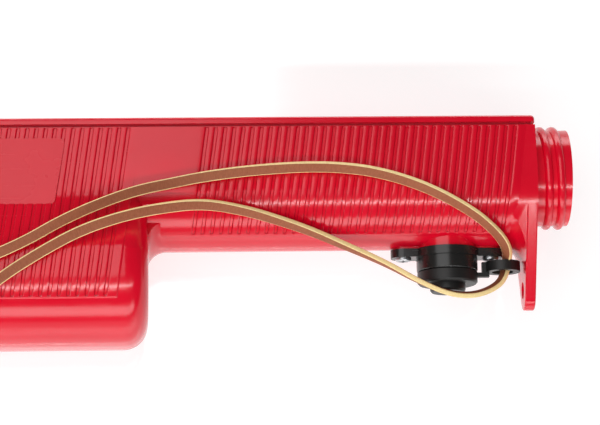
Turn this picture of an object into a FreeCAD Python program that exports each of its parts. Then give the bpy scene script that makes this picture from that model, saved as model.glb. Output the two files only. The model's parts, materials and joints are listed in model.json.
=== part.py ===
import FreeCAD, Part
import math
import os
from FreeCAD import Vector

# Chalk line reel, lying on its side. Millimetres.
# +X runs along the barrel to the filler neck, +Y to the flat cover, +Z up, away from the resting side.
# The origin is on the resting side, under the reel's axle.

# ---- driving dimensions ----
END_X = 225.0            # outer face of the end wall
LEFT_X = -45.0           # far end of the reel chamber
CHAMBER_X = 86.2         # wall of the chamber that faces the neck
AXIS_Y = 18.0            # barrel axis
AXIS_Z = 30.0
BARREL_R = 21.5
SIDE_TAPER = math.radians(8.0)
RIM_UP = 20.0            # rim of the shell above the barrel axis
WALL = 2.3
CHAMBER_WALL = 2.6
CHAMBER_HALF = 30.0      # half thickness of the chamber
CHAMBER_LOW = 56.2       # bottom of the chamber below the barrel axis
CHAMBER_FLAT = 29.4      # where its sides begin to round off
SHOULDER_UP, SHOULDER_OUT = -6.5, 22.7   # top of the sloping shoulder
SLOPE_LOW = 25.0         # foot of the sloping shoulder
SHOULDER_BEND = 5.0
CHAMBER_END_R = 8.5      # rounding of the chamber's end walls
BACK_TOP = 8.0           # top of the flat resting side
GASKET = 1.1
GASKET_INSET = 1.2
COVER = 2.5
COVER_EDGE_R = 1.3

NECK_UP = 4.2            # neck axis above the barrel axis
NECK_BORE_R = 15.0
NECK_ROOT_R = 17.4
NECK_CREST_R = 18.75
NECK_LENGTH = 13.2
THREAD_PITCH = 4.4

LUG_THICK = 3.9
LUG_TIP_R = 6.0
LUG_TIP_DOWN = 38.3
LUG_HOLE_R = 3.0
LUG_HOLE_DOWN = 37.0
FILLET = 7.0

OUTLET_X = END_X - 31.0  # line outlet under the barrel
PAD_DOWN = 22.0          # face of the pad below the barrel axis
PAD_STEP = 1.0           # how far the flange overhangs the pad
FLANGE = 3.0
EAR_OUT = 15.8
EAR_R = 4.5
BOSS_R = 11.0
BOSS_DOWN = 30.0
GLAND_R = 6.5

SHAFT_R = 4.0
RUNNING = 0.05           # radial clearance of every running fit
SPOOL_R = 30.5
CORE_R = 12.0
WOUND_R = 26.0
SPOOL_HALF = 15.0        # half width over the flanges
SPOOL_FLANGE = 2.0
BUSH_R = 7.0
FRONT_BOSS_R = 12.0

ARM_LENGTH = 45.0
ARM_LOW = 38.0           # underside of the crank arm above the mid-plane
ARM_THICK = 4.0
STUD_R = 3.0
KNOB_R = 8.0
KNOB_TOP = 64.0

RATCHET_R = 10.4
RATCHET_ROOT_R = 8.6
RATCHET_TEETH = 12
RATCHET_THICK = 2.0
TOOTH_TURN = math.radians(150.0)   # direction of the tooth face that the pawl rests on
LOCK_X, LOCK_Y = -20.0, -15.0
LOCK_PIN_R = 2.5

ROLLER_R = 5.5
ROLLER_PIN_R = 2.0
ROLLER_X = OUTLET_X - ROLLER_R
ROLLER_UP = -7.5

EYE_X = END_X - 10.9      # eye of the line end, which the strap passes through
EYE_TOP, EYE_LOW = -26.6, -30.2
EYE_R, EYE_HOLE_R = 6.3, 3.9
STRAP_WIDTH = 5.0

SCREW_OUT = 14.2          # cover screws, from the mid-plane

PLATE_RAISE = 0.7


# ---- helpers ----
def at(x, up, out):
    """A point from its X, its height over the barrel axis, and its distance from the mid-plane."""
    return Vector(x, AXIS_Y + up, AXIS_Z + out)


def prism(wire, dx=0.0, dy=0.0, dz=0.0):
    return Part.Face(wire).extrude(Vector(dx, dy, dz))


def polygon(points):
    return Part.makePolygon(points + [points[0]])


def rod_z(x, y, radius, low, high):
    """Cylinder along Z, between two distances from the mid-plane."""
    return Part.makeCylinder(radius, high - low, Vector(x, y, AXIS_Z + low))


def rod_y(x, radius, low, high, out=0.0):
    """Cylinder along Y, between two heights over the barrel axis."""
    return Part.makeCylinder(radius, high - low, at(x, low, out), Vector(0, 1, 0))


def rod_x(x, up, radius, length, out=0.0):
    return Part.makeCylinder(radius, length, at(x, up, out), Vector(1, 0, 0))


def polar(radius, turn):
    """Point on a circle about the reel's axle."""
    return Vector(radius * math.cos(turn), radius * math.sin(turn), 0)


def fuse_all(shapes):
    first, rest = shapes[0], shapes[1:]
    return first.fuse(rest)


def revolve_z(x, y, profile):
    """Solid of revolution about a Z line, from (radius, distance from the mid-plane) pairs."""
    wire = polygon([Vector(x + radius, y, AXIS_Z + out) for radius, out in profile])
    return Part.Face(wire).revolve(Vector(x, y, 0), Vector(0, 0, 1), 360)


def revolve_y(x, profile):
    """Solid of revolution about a Y line, from (radius, height over the barrel axis) pairs."""
    wire = polygon([at(x + radius, up, 0) for radius, up in profile])
    return Part.Face(wire).revolve(at(x, 0, 0), Vector(0, 1, 0), 360)


def hull_of_circles(first, first_r, second, second_r):
    """Outline in the (up, out) plane of a large circle and a smaller one below it, joined by tangents."""
    apart = first - second
    lean = math.asin((first_r - second_r) / apart)
    rise, reach = math.sin(lean), math.cos(lean)

    def touch(centre, radius, side):
        return Vector(0, AXIS_Y + centre - radius * rise, AXIS_Z + side * radius * reach)

    top = Part.Arc(touch(first, first_r, -1), Vector(0, AXIS_Y + first + first_r, AXIS_Z),
                   touch(first, first_r, 1))
    tip = Part.Arc(touch(second, second_r, 1), Vector(0, AXIS_Y + second - second_r, AXIS_Z),
                   touch(second, second_r, -1))
    sides = [Part.LineSegment(touch(first, first_r, 1), touch(second, second_r, 1)),
             Part.LineSegment(touch(second, second_r, -1), touch(first, first_r, -1))]
    return Part.Wire([piece.toShape() for piece in (top, sides[0], tip, sides[1])])


# ---- outlines of the shell ----
def barrel_wire(inset, top):
    """Round-bottomed section of the barrel, its sides leaning in to the rim."""
    radius = BARREL_R - inset
    touch_up, touch_out = radius * math.sin(SIDE_TAPER), radius * math.cos(SIDE_TAPER)
    top_out = touch_out - (top - touch_up) * math.tan(SIDE_TAPER)
    right, left = at(0, touch_up, touch_out), at(0, touch_up, -touch_out)
    edges = [Part.Arc(right, at(0, -radius, 0), left).toShape(),
             Part.makeLine(left, at(0, top, -top_out)),
             Part.makeLine(at(0, top, -top_out), at(0, top, top_out)),
             Part.makeLine(at(0, top, top_out), right)]
    return Part.Wire(edges)


def barrel_prism(inset, top, start, end):
    solid = prism(barrel_wire(inset, top), dx=end - start)
    solid.translate(Vector(start, 0, 0))
    return solid


def chamber_wire():
    """Section of the reel chamber: sloping shoulder in front, flat resting side behind, round bottom."""
    corner = CHAMBER_LOW - CHAMBER_FLAT
    mid = corner * math.sqrt(0.5)
    half, flat_half = CHAMBER_HALF, CHAMBER_HALF - corner
    front_arc = Part.Arc(at(0, -CHAMBER_FLAT, half), at(0, -CHAMBER_FLAT - mid, flat_half + mid),
                         at(0, -CHAMBER_LOW, flat_half))
    back_arc = Part.Arc(at(0, -CHAMBER_LOW, -flat_half), at(0, -CHAMBER_FLAT - mid, -flat_half - mid),
                        at(0, -CHAMBER_FLAT, -half))
    inside_front, inside_back = at(0, 8, 20.4), at(0, 15, -15)
    back_top = at(0, BACK_TOP, -half)
    shoulder_top, shoulder = at(0, SHOULDER_UP, SHOULDER_OUT), at(0, -SLOPE_LOW, half)
    edges = [Part.makeLine(inside_front, shoulder_top),
             Part.makeLine(shoulder_top, shoulder),
             Part.makeLine(shoulder, at(0, -CHAMBER_FLAT, half)),
             front_arc.toShape(),
             Part.makeLine(at(0, -CHAMBER_LOW, flat_half), at(0, -CHAMBER_LOW, -flat_half)),
             back_arc.toShape(),
             Part.makeLine(at(0, -CHAMBER_FLAT, -half), back_top),
             Part.makeLine(back_top, inside_back),
             Part.makeLine(inside_back, inside_front)]
    return Part.Wire(edges)


def chamber_outside():
    solid = prism(chamber_wire(), dx=CHAMBER_X - LEFT_X)
    solid.translate(Vector(LEFT_X, 0, 0))
    bends = [edge for edge in solid.Edges
             if edge.BoundBox.XLength > 50
             and (abs(edge.BoundBox.YMin - (AXIS_Y - SLOPE_LOW)) < 0.1
                  or abs(edge.BoundBox.YMin - (AXIS_Y + BACK_TOP)) < 0.1)]
    solid = solid.makeFillet(SHOULDER_BEND, bends)
    ends = [edge for edge in solid.Edges if edge.BoundBox.XLength < 0.01]
    return solid.makeFillet(CHAMBER_END_R, ends)


def chamber_inside():
    wire = chamber_wire().makeOffset2D(-CHAMBER_WALL)
    solid = prism(wire, dx=CHAMBER_X - LEFT_X - 2 * CHAMBER_WALL)
    solid.translate(Vector(LEFT_X + CHAMBER_WALL, 0, 0))
    ends = [edge for edge in solid.Edges if edge.BoundBox.XLength < 0.01]
    return solid.makeFillet(CHAMBER_END_R - CHAMBER_WALL, ends)


def round_web(start, side, limit):
    """Concave fillet between the barrel's underside and a wall across it, kept inside the outline limit."""
    near, far = BARREL_R - 1.0, BARREL_R + FILLET
    reach = start + side * FILLET
    bend = FILLET * math.sqrt(0.5)
    mid = at(reach - side * bend, -(far - bend), 0)
    arc = Part.Arc(at(start, -far, 0), mid, at(reach, -BARREL_R, 0))
    edges = [arc.toShape(),
             Part.makeLine(at(reach, -BARREL_R, 0), at(reach, -near, 0)),
             Part.makeLine(at(reach, -near, 0), at(start, -near, 0)),
             Part.makeLine(at(start, -near, 0), at(start, -far, 0))]
    half_turn = Part.Face(Part.Wire(edges)).revolve(at(start, 0, 0), Vector(1, 0, 0), 90)
    other_half = Part.Face(Part.Wire(edges)).revolve(at(start, 0, 0), Vector(1, 0, 0), -90)
    slab = prism(limit, dx=FILLET)
    slab.translate(Vector(min(start, reach), 0, 0))
    return half_turn.fuse(other_half).common(slab)


def lug():
    wire = hull_of_circles(0, BARREL_R, -LUG_TIP_DOWN, LUG_TIP_R)
    plate = prism(wire, dx=LUG_THICK)
    plate.translate(Vector(END_X - LUG_THICK, 0, 0))
    edges = [edge for edge in plate.Edges
             if edge.BoundBox.XLength < 0.01 and edge.BoundBox.YMax < AXIS_Y + 1]
    below = Part.makeBox(20, 100, 100, at(END_X - 15, -100, -50))
    return plate.makeFillet(0.6, edges).common(below).fuse(round_web(END_X - LUG_THICK, -1, wire))


def thread():
    """Rounded right-hand ridge wound round the neck."""
    lead_in = 2.4
    helix = Part.makeHelix(THREAD_PITCH, NECK_LENGTH - 2 * lead_in, NECK_ROOT_R)
    half, buried = 1.55, 0.6
    corners = [Vector(NECK_ROOT_R, 0, -half), Vector(NECK_ROOT_R, 0, half),
               Vector(NECK_ROOT_R - buried, 0, half), Vector(NECK_ROOT_R - buried, 0, -half)]
    crest = Part.Arc(corners[0], Vector(NECK_CREST_R, 0, 0), corners[1]).toShape()
    base = [Part.makeLine(corners[n], corners[(n + 1) % 4]) for n in (1, 2, 3)]
    ridge = Part.Wire(helix.Edges).makePipeShell([Part.Wire([crest] + base)], True, True)
    ridge.rotate(Vector(0, 0, 0), Vector(0, 1, 0), 90)
    ridge.translate(at(END_X + lead_in, NECK_UP, 0))
    return ridge


def ear_outline(grow, top, bottom):
    """Two-eared plate: a round middle and two ears on one line along X."""
    middle = rod_y(OUTLET_X, BOSS_R + 0.8 + grow, bottom, top)
    solids = [middle]
    for side in (-1, 1):
        solids.append(rod_y(OUTLET_X + side * EAR_OUT, EAR_R + grow, bottom, top))
        start = OUTLET_X + min(0, side * EAR_OUT)
        half = EAR_R + grow
        solids.append(Part.makeBox(EAR_OUT, top - bottom, 2 * half, at(start, bottom, -half)))
    return fuse_all(solids)


def screw_places():
    """Cover screws: X, and side of the mid-plane."""
    return [(x, side * SCREW_OUT) for x in (LEFT_X + 7, CHAMBER_X - 5, END_X - 9) for side in (-1, 1)]


# ---- shell ----
def main_shell():
    solids = [barrel_prism(0, RIM_UP, LEFT_X, END_X), chamber_outside(), lug(),
              round_web(CHAMBER_X, 1, chamber_wire().makeOffset2D(-CHAMBER_END_R)),
              rod_x(END_X, NECK_UP, NECK_ROOT_R, NECK_LENGTH), thread(),
              ear_outline(-PAD_STEP, -BARREL_R + 8, -PAD_DOWN),
              rod_z(0, 0, FRONT_BOSS_R, 19.5, 31)]
    shell = fuse_all(solids)
    inside = fuse_all([barrel_prism(WALL, RIM_UP + 1, LEFT_X + CHAMBER_WALL, END_X - WALL),
                       chamber_inside()])
    shell = shell.cut(inside)
    inner = [rod_z(0, 0, FRONT_BOSS_R, 19.5, 27),
             rod_z(0, 0, 10, -28, -16),
             rod_z(LOCK_X, LOCK_Y, 5, 20, 28)]
    inner += [Part.makeCylinder(3.2, 12, at(x, RIM_UP - 12, out), Vector(0, 1, 0))
              for x, out in screw_places()]
    for low, high in ((-19, -5), (5, 19)):
        inner.append(rod_z(ROLLER_X, AXIS_Y + ROLLER_UP, 3.6, low, high))
    outer_limit = fuse_all([barrel_prism(0.4, RIM_UP, LEFT_X + 1, END_X - 1), chamber_outside()])
    shell = shell.fuse([boss.common(outer_limit) for boss in inner])
    holes = [rod_x(END_X - 5, NECK_UP, NECK_BORE_R, NECK_LENGTH + 6),
             rod_x(END_X - 5, -LUG_HOLE_DOWN, LUG_HOLE_R, 6),
             rod_z(0, 0, BUSH_R, 15, 32),
             rod_z(0, 0, BUSH_R, -27.5, -15),
             rod_z(LOCK_X, LOCK_Y, LOCK_PIN_R + RUNNING, 18, 31),
             rod_z(ROLLER_X, AXIS_Y + ROLLER_UP, ROLLER_PIN_R, -17, 17),
             rod_y(OUTLET_X, 2.5, -24, -12)]
    holes += [rod_y(OUTLET_X + side * EAR_OUT, 1.5, -23, -12) for side in (-1, 1)]
    holes += [rod_y(x, 1.4, RIM_UP - 10, RIM_UP + 1, out) for x, out in screw_places()]
    return shell.cut(holes)


def top_cover():
    low = RIM_UP + GASKET
    lean = math.tan(SIDE_TAPER)
    half = BARREL_R * math.cos(SIDE_TAPER) - (RIM_UP - BARREL_R * math.sin(SIDE_TAPER)) * lean
    plate = Part.makeBox(END_X - LEFT_X, COVER, 2 * half, at(LEFT_X, low, -half))
    corners = [edge for edge in plate.Edges if edge.BoundBox.YLength > COVER - 0.1]
    plate = plate.makeFillet(1.5, corners)
    upper = [edge for edge in plate.Edges if edge.BoundBox.YMin > AXIS_Y + low + COVER - 0.1]
    plate = plate.makeFillet(COVER_EDGE_R, upper)
    return plate.cut([screw_body(x, out, True) for x, out in screw_places()])


def screw_body(x, out, full):
    """Countersunk screw; the hole that it fills in the cover is the same shape."""
    top = RIM_UP + GASKET + COVER
    head = Part.makeCone(1.4, 2.8, 1.4, at(x, top - 1.4, out), Vector(0, 1, 0))
    shank = rod_y(x, 1.4, RIM_UP - (0 if full else 8), top - 1.4, out)
    return head.fuse(shank).removeSplitter()


def cover_screws():
    screws = []
    for x, out in screw_places():
        slot = Part.makeBox(4, 1, 0.7, at(x - 2, RIM_UP + GASKET + COVER - 0.7, out - 0.35))
        screws.append(screw_body(x, out, False).cut(slot))
    return Part.makeCompound(screws)


def cover_gasket():
    outer_inset, inner_inset = GASKET_INSET, GASKET_INSET + 2.0
    outer = barrel_prism(outer_inset, RIM_UP + GASKET, LEFT_X + outer_inset, END_X - outer_inset)
    inner = barrel_prism(inner_inset, RIM_UP + GASKET + 1, LEFT_X + inner_inset, END_X - inner_inset)
    band = Part.makeBox(END_X - LEFT_X + 2, GASKET, 60, at(LEFT_X - 1, RIM_UP, -30))
    pads = [rod_y(x, 3.2, RIM_UP, RIM_UP + GASKET, out) for x, out in screw_places()]
    ring = outer.cut(inner).fuse([pad.common(outer) for pad in pads]).common(band)
    return ring.cut([rod_y(x, 1.4, RIM_UP - 1, RIM_UP + 2, out) for x, out in screw_places()])


def label_plate():
    """Thin slanted plate that carries the side wall's plane on over the shoulder."""
    start, end, lean = END_X - 205, END_X - 168.5, 3.0
    low, high, round_r = -8.6, 15.8, 2.0
    corners = [at(start - lean, low, 0), at(end - lean, low, 0), at(end + 1, high, 0), at(start + 1, high, 0)]
    block = prism(polygon(corners), dz=40)
    uprights = [edge for edge in block.Edges if edge.BoundBox.ZLength > 39]
    block = block.makeFillet(round_r, uprights)
    shell_start, length = start - 9, end - start + 18
    chamber = prism(chamber_wire(), dx=length)
    chamber.translate(Vector(shell_start, 0, 0))
    shell = barrel_prism(0, RIM_UP, shell_start, shell_start + length).fuse(chamber)
    wall_out = BARREL_R / math.cos(SIDE_TAPER) + PLATE_RAISE
    top_out, low_out = (wall_out - up * math.tan(SIDE_TAPER) for up in (high, low))
    corners = [(high, 0), (high, top_out), (low, low_out), (low, 0)]
    side = prism(polygon([at(shell_start, up, out) for up, out in corners]), dx=length)
    return side.cut(shell).common(block)


# ---- inside the barrel ----
def chamber_bulkhead():
    plate = barrel_prism(WALL + 0.1, RIM_UP - 0.2, CHAMBER_X + 4, CHAMBER_X + 7)
    return plate.cut(rod_x(CHAMBER_X, -2, 6, 12))


def felt_wiper():
    return rod_x(CHAMBER_X + 3, -2, 6, 5).cut(rod_x(CHAMBER_X, -2, 0.8, 12))


def wiper_retainer():
    return rod_x(CHAMBER_X + 7, -2, 9, 2).cut(rod_x(CHAMBER_X, -2, 6, 12))


def roller_pin():
    return rod_z(ROLLER_X, AXIS_Y + ROLLER_UP, ROLLER_PIN_R, -16.9, 16.9)


def guide_roller():
    bore, half, rim, lip = ROLLER_PIN_R + RUNNING, 4.0, ROLLER_R + 1.4, 0.8
    profile = [(bore, -half), (rim, -half), (rim, lip - half), (ROLLER_R, 0),
               (rim, half - lip), (rim, half), (bore, half)]
    return revolve_z(ROLLER_X, AXIS_Y + ROLLER_UP, profile)


# ---- line outlet ----
def outlet_flange():
    plate = ear_outline(0, -PAD_DOWN, -PAD_DOWN - FLANGE)
    boss = rod_y(OUTLET_X, BOSS_R, -BOSS_DOWN, -PAD_DOWN - 1)
    rim = [edge for edge in boss.Edges if edge.BoundBox.YMax < AXIS_Y - BOSS_DOWN + 0.1]
    body = plate.fuse(boss.makeFillet(0.6, rim)).removeSplitter()
    cuts = [rod_y(OUTLET_X, GLAND_R, -BOSS_DOWN - 1, -PAD_DOWN + 1)]
    cuts += [rod_y(OUTLET_X + side * EAR_OUT, 1.5, -PAD_DOWN - 4, -PAD_DOWN + 1) for side in (-1, 1)]
    return body.cut(cuts)


def flange_screws():
    screws = []
    for side in (-1, 1):
        x = OUTLET_X + side * EAR_OUT
        low = -PAD_DOWN - FLANGE
        head = rod_y(x, 2.9, low - 1.0, low)
        edges = [edge for edge in head.Edges if edge.BoundBox.YMax < AXIS_Y + low - 0.9]
        cross = [Part.makeBox(3.4, 0.8, 0.8, at(x - 1.7, low - 1.1, -0.4)),
                 Part.makeBox(0.8, 0.8, 3.4, at(x - 0.4, low - 1.1, -1.7))]
        shank = rod_y(x, 1.5, low, -BARREL_R + 7)
        screws.append(head.makeFillet(0.6, edges).fuse(shank).cut(cross))
    return Part.makeCompound(screws)


def gland_felt():
    return rod_y(OUTLET_X, GLAND_R, -PAD_DOWN - 4, -PAD_DOWN).cut(rod_y(OUTLET_X, 0.9, -40, 0))


# ---- reel: spool, shaft, ratchet and crank ----
def spool_core():
    return rod_z(0, 0, CORE_R, SPOOL_FLANGE - SPOOL_HALF, SPOOL_HALF - SPOOL_FLANGE).cut(
        rod_z(0, 0, SHAFT_R, -20, 20))


def spool_flange(low):
    disc = rod_z(0, 0, SPOOL_R, low, low + SPOOL_FLANGE)
    windows = []
    for n in range(6):
        centre = polar(SPOOL_R - 2.8, math.radians(60 * n))
        windows.append(rod_z(centre.x, centre.y, 1.5, low - 1, low + 3))
    return disc.cut([rod_z(0, 0, SHAFT_R, -20, 20)] + windows)


def wound_line():
    half = SPOOL_HALF - SPOOL_FLANGE
    profile = [(CORE_R, -half), (WOUND_R - 1, -half), (WOUND_R, -half + 3), (WOUND_R, half - 3),
               (WOUND_R - 1, half), (CORE_R, half)]
    return revolve_z(0, 0, profile)


def crank_shaft():
    return rod_z(0, 0, SHAFT_R, -27, ARM_LOW + ARM_THICK).cut(rod_z(0, 0, 1.8, 32, 50))


def ratchet_wheel():
    """Saw-toothed wheel; each tooth has a steep face and a sloping back."""
    pitch = 2 * math.pi / RATCHET_TEETH
    points = []
    for n in range(RATCHET_TEETH):
        points.append(polar(RATCHET_R, TOOTH_TURN + n * pitch))
        points.append(polar(RATCHET_ROOT_R, TOOTH_TURN + n * pitch))
    wheel = prism(polygon(points), dz=RATCHET_THICK)
    wheel.translate(Vector(0, 0, AXIS_Z + SPOOL_HALF))
    return wheel.cut(rod_z(0, 0, SHAFT_R, -20, 20))


def crank_arm():
    low, high = ARM_LOW, ARM_LOW + ARM_THICK
    hub = rod_z(0, 0, 8, 33, high)
    end = rod_z(-ARM_LENGTH, 0, 6, low, high)
    bar = polygon([Vector(0, -8, 0), Vector(0, 8, 0), Vector(-ARM_LENGTH, 6, 0), Vector(-ARM_LENGTH, -6, 0)])
    web = prism(bar, dz=ARM_THICK)
    web.translate(Vector(0, 0, AXIS_Z + low))
    arm = fuse_all([hub, end, web])
    return arm.cut([rod_z(0, 0, SHAFT_R, 30, 60), rod_z(-ARM_LENGTH, 0, STUD_R, 30, 60)])


def crank_screw():
    top = ARM_LOW + ARM_THICK
    head = rod_z(0, 0, 5.5, top, top + 2.6)
    rim = [edge for edge in head.Edges if edge.BoundBox.ZMin > AXIS_Z + top + 2.5]
    slot = Part.makeBox(12, 1, 1.2, Vector(-6, -0.5, AXIS_Z + top + 1.4))
    return head.makeFillet(1.2, rim).fuse(rod_z(0, 0, 1.8, 33, top)).cut(slot)


def knob_stud():
    x, arm_top = -ARM_LENGTH, ARM_LOW + ARM_THICK
    parts = [rod_z(x, 0, 4.6, ARM_LOW - 1, ARM_LOW), rod_z(x, 0, STUD_R, ARM_LOW, KNOB_TOP - 3.0),
             rod_z(x, 0, 4.6, KNOB_TOP - 3.0, KNOB_TOP - 1.6), rod_z(x, 0, 4.4, arm_top, arm_top + 0.6)]
    return fuse_all(parts)


def crank_knob():
    bore, low, shelf = STUD_R + RUNNING, ARM_LOW + ARM_THICK + 0.9, KNOB_TOP - 3.3
    profile = [(bore, low), (KNOB_R - 1.6, low), (KNOB_R - 0.6, low + 2), (KNOB_R - 1.4, low + 9),
               (KNOB_R, low + 16), (KNOB_R - 1, KNOB_TOP - 1.2), (KNOB_R - 2.2, KNOB_TOP), (5.2, KNOB_TOP),
               (5.2, shelf), (bore, shelf)]
    return revolve_z(-ARM_LENGTH, 0, profile)


def front_bearing():
    sleeve = rod_z(0, 0, BUSH_R, 21.5, 31).fuse(rod_z(0, 0, 10, 31, 32.4)).removeSplitter()
    return sleeve.cut(rod_z(0, 0, SHAFT_R + RUNNING, 15, 40))


def shaft_seal():
    return rod_z(0, 0, BUSH_R, 19.5, 21.5).cut(rod_z(0, 0, SHAFT_R + RUNNING, 15, 40))


def back_bearing():
    return rod_z(0, 0, BUSH_R, -27.5, -15.4).cut(rod_z(0, 0, SHAFT_R + RUNNING, -30, -10))


# ---- lock ----
def lock_pawl():
    """Arm from its pin to the ratchet, its beak against a tooth's steep face."""
    low, high = SPOOL_HALF + 0.3, SPOOL_HALF + 2.1
    beak_turn = TOOTH_TURN + math.radians(1.9)
    beak = polar(RATCHET_ROOT_R + 0.7, beak_turn)
    root = Vector(LOCK_X, LOCK_Y, 0)
    along = beak - root
    along.normalize()
    side = Vector(-along.y, along.x, 0) * 4
    outline = polygon([root + side, root - side, polar(RATCHET_R + 0.6, beak_turn + math.radians(14)),
                       beak, polar(RATCHET_R + 2.2, beak_turn)])
    bar = prism(outline, dz=high - low)
    bar.translate(Vector(0, 0, AXIS_Z + low))
    hub = rod_z(LOCK_X, LOCK_Y, 4.6, low, 19.6)
    return fuse_all([bar, hub]).cut(rod_z(LOCK_X, LOCK_Y, LOCK_PIN_R, 0, 40))


def lock_pin():
    return rod_z(LOCK_X, LOCK_Y, LOCK_PIN_R, SPOOL_HALF + 0.3, 34.0)


def lock_lever():
    low, high = 30.8, 34.0
    hub = rod_z(LOCK_X, LOCK_Y, 5, low, high)
    pad = rod_z(LOCK_X - 15, LOCK_Y - 3, 3.4, low, high)
    bar = polygon([Vector(LOCK_X, LOCK_Y + 4, 0), Vector(LOCK_X, LOCK_Y - 4, 0),
                   Vector(LOCK_X - 15, LOCK_Y - 6, 0), Vector(LOCK_X - 15, LOCK_Y, 0)])
    web = prism(bar, dz=high - low)
    web.translate(Vector(0, 0, AXIS_Z + low))
    return fuse_all([hub, pad, web]).cut(rod_z(LOCK_X, LOCK_Y, LOCK_PIN_R, 0, 60))


# ---- line end: plug, ferrule and strap ----
def line_end_plug():
    disc_top, disc_low = -BOSS_DOWN - 0.3, -34.5
    spigot_r, disc_r, knob_r, knob_low = GLAND_R - 0.3, 10.8, 6.4, -37.4
    profile = [(0, -26.4), (spigot_r, -26.4), (spigot_r, disc_top), (disc_r, disc_top),
               (disc_r, disc_low + 0.6), (disc_r - 0.6, disc_low), (knob_r, disc_low),
               (knob_r, knob_low + 0.8), (knob_r - 0.6, knob_low), (0, knob_low)]
    body = revolve_y(OUTLET_X, profile)
    ring = rod_y(EYE_X, EYE_R, EYE_LOW, EYE_TOP)
    arm_start, arm_end = OUTLET_X + 9.0, EYE_X - 5.0
    arm = Part.makeBox(arm_end - arm_start, 1.6, 2.4, at(arm_start, -32.0, -1.2))
    lift = Part.makeBox(2.6, 5.4, 2.4, at(arm_end - 2.6, -32.0, -1.2))
    plug = fuse_all([body, arm, lift, ring])
    return plug.cut([rod_y(EYE_X, EYE_HOLE_R, -40, -20), rod_y(OUTLET_X, 1.6, -33, -20)])


def line_ferrule():
    return rod_y(OUTLET_X, 1.6, -32.9, -26.8).cut(rod_y(OUTLET_X, 0.7, -31, -20))


# Route of the strap: X from the end wall, height over the barrel axis, distance from the mid-plane.
STRAP_ROUTE = [
    (-9.0, -28.3, 0.0), (-8.4, -25.7, 4.2), (-8.9, -23.2, 9.8), (-11.4, -20.7, 14.8), (-15.5, -17.7, 18.4),
    (-21.8, -13.3, 21.6), (-33.0, -7.3, 24.4), (-44.0, -2.6, 25.2), (-55.4, 1.0, 25.3), (-66.6, 3.1, 25.2),
    (-82.0, 3.9, 25.0), (-102.0, 2.6, 24.9), (-119.5, 0.2, 25.0), (-130.0, -2.2, 25.6), (-142.6, -5.2, 27.6),
    (-156.0, -10.6, 30.4), (-169.5, -17.2, 32.6), (-182.6, -25.0, 33.3), (-199.0, -31.8, 33.4),
    (-210.5, -34.4, 33.4), (-222.8, -37.0, 33.4), (-228.5, -47.0, 33.3), (-222.8, -57.0, 33.1),
    (-210.5, -55.0, 33.2), (-199.5, -46.2, 33.4), (-189.0, -37.6, 33.4), (-176.0, -29.4, 33.4),
    (-163.0, -22.2, 33.3), (-149.4, -17.2, 32.9), (-136.0, -13.5, 29.8), (-119.6, -10.6, 25.2),
    (-104.4, -12.6, 22.4), (-93.0, -15.5, 20.0), (-81.4, -18.8, 16.8), (-69.8, -22.7, 12.6),
    (-54.3, -28.8, 10.2), (-43.0, -35.4, 9.2), (-31.4, -40.8, 7.6), (-22.4, -41.4, 5.8), (-14.8, -38.6, 3.6),
    (-9.8, -33.6, 1.2), (-9.0, -28.5, 0.0)]


def tube_path(points):
    """Straight runs joined by tangent arcs, each as large as its two runs allow."""
    edges, radii, here = [], [], points[0]
    for before, corner, after in zip(points, points[1:], points[2:]):
        run_in, run_out = corner - before, after - corner
        cut = 0.45 * min(run_in.Length, run_out.Length)
        half_turn = run_in.getAngle(run_out) / 2
        radii.append(cut / math.tan(half_turn))
        run_in.normalize()
        run_out.normalize()
        start, end = corner - run_in * cut, corner + run_out * cut
        toward = run_out - run_in
        toward.normalize()
        sag = radii[-1] * (1 / math.cos(half_turn) - 1)
        edges.append(Part.makeLine(here, start))
        edges.append(Part.Arc(start, corner + toward * sag, end).toShape())
        here = end
    edges.append(Part.makeLine(here, points[-1]))
    return Part.Wire(edges), radii


def leather_loop():
    points = [at(END_X + x, up, out) for x, up, out in STRAP_ROUTE]
    path, radii = tube_path(points)
    section = Part.Wire(Part.makeCircle(STRAP_WIDTH / 2, points[0], points[1] - points[0]))
    tube = path.makePipeShell([section], True, True)
    expected = math.pi * (STRAP_WIDTH / 2) ** 2 * path.Length
    print("strap length", round(path.Length, 1), "volume ratio", round(tube.Volume / expected, 4))
    print("strap bend radii", [round(radius, 1) for radius in radii])
    return tube


PARTS = {
    "main_shell": main_shell, "top_cover": top_cover, "cover_gasket": cover_gasket,
    "cover_screws": cover_screws, "label_plate": label_plate, "chamber_bulkhead": chamber_bulkhead,
    "felt_wiper": felt_wiper, "wiper_retainer": wiper_retainer, "roller_pin": roller_pin,
    "guide_roller": guide_roller, "outlet_flange": outlet_flange, "flange_screws": flange_screws,
    "gland_felt": gland_felt, "front_bearing": front_bearing, "shaft_seal": shaft_seal,
    "back_bearing": back_bearing, "spool_core": spool_core,
    "spool_flange_front": lambda: spool_flange(SPOOL_HALF - SPOOL_FLANGE),
    "spool_flange_back": lambda: spool_flange(-SPOOL_HALF),
    "wound_line": wound_line, "crank_shaft": crank_shaft, "ratchet_wheel": ratchet_wheel,
    "crank_arm": crank_arm, "crank_screw": crank_screw, "knob_stud": knob_stud, "crank_knob": crank_knob,
    "lock_pawl": lock_pawl, "lock_pin": lock_pin, "lock_lever": lock_lever,
    "line_end_plug": line_end_plug, "line_ferrule": line_ferrule, "leather_loop": leather_loop,
}

os.makedirs("parts", exist_ok=True)
for name, make in PARTS.items():
    shape = make()
    shape.exportStep(os.path.join("parts", name + ".step"))
    print(name, "solids", len(shape.Solids), "valid", shape.isValid(), "cm3", round(shape.Volume / 1000, 2))
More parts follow.
